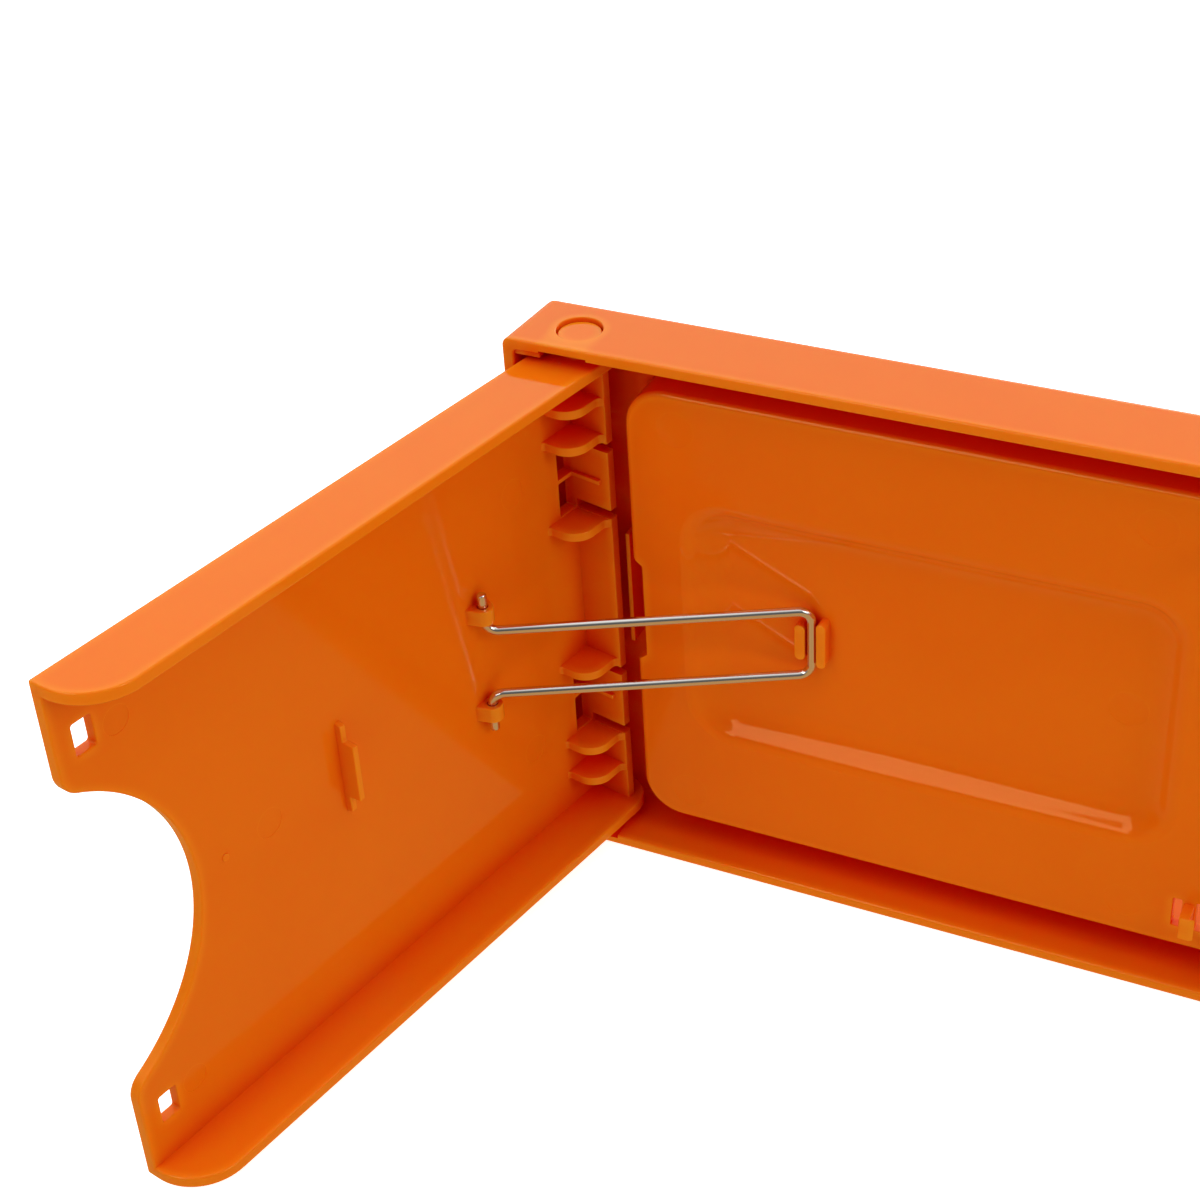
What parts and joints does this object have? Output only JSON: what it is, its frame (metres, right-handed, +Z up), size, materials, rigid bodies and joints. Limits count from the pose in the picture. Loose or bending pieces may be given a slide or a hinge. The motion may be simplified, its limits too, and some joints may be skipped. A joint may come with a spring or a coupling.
{
  "type": "folding sawhorse",
  "caption": "Low folding trestle: dished plastic top, splayed arched legs that fold flat into its underside, and hinged steel wire stays that clip in to brace them open.",
  "frame": {"origin": "on the floor, under the middle of the top panel", "axes": "+Z up, +X along the top panel's length, +Y along the hinge axes"},
  "size_m": [0.5596, 0.2, 0.2273],
  "materials": {
    "panel": "glossy moulded orange polypropylene",
    "leg": "glossy moulded orange polypropylene",
    "wire": "bright drawn steel wire"
  },
  "bodies": {
    "top": {"top_panel": "panel"},
    "left_leg": {"leg_left": "leg"},
    "right_leg": {"leg_right": "leg"},
    "left_stay": {"wire_stay_left": "wire"},
    "right_stay": {"wire_stay_right": "wire"}
  },
  "joints": [
    {"name": "left_leg_fold", "type": "hinge", "parent": "top", "child": "left_leg", "pos_m": [-0.2214, 0, 0.21105], "axis": [0, -1, 0], "range_deg": [0, 102.5]},
    {"name": "right_leg_fold", "type": "hinge", "parent": "top", "child": "right_leg", "pos_m": [0.2214, 0, 0.21105], "axis": [0, 1, 0], "range_deg": [0, 102.5]},
    {"name": "left_stay_swing", "type": "hinge", "parent": "left_leg", "child": "left_stay", "pos_m": [-0.237, 0, 0.16124], "axis": [0, 1, 0], "range_deg": [0, 128.06]},
    {"name": "right_stay_swing", "type": "hinge", "parent": "right_leg", "child": "right_stay", "pos_m": [0.237, 0, 0.16124], "axis": [0, -1, 0], "range_deg": [0, 128.06]}
  ],
  "couplings": [
    {"joint": "left_stay_swing", "follows": "left_leg_fold", "ratio": 1.2493},
    {"joint": "right_stay_swing", "follows": "right_leg_fold", "ratio": 1.2493}
  ]
}
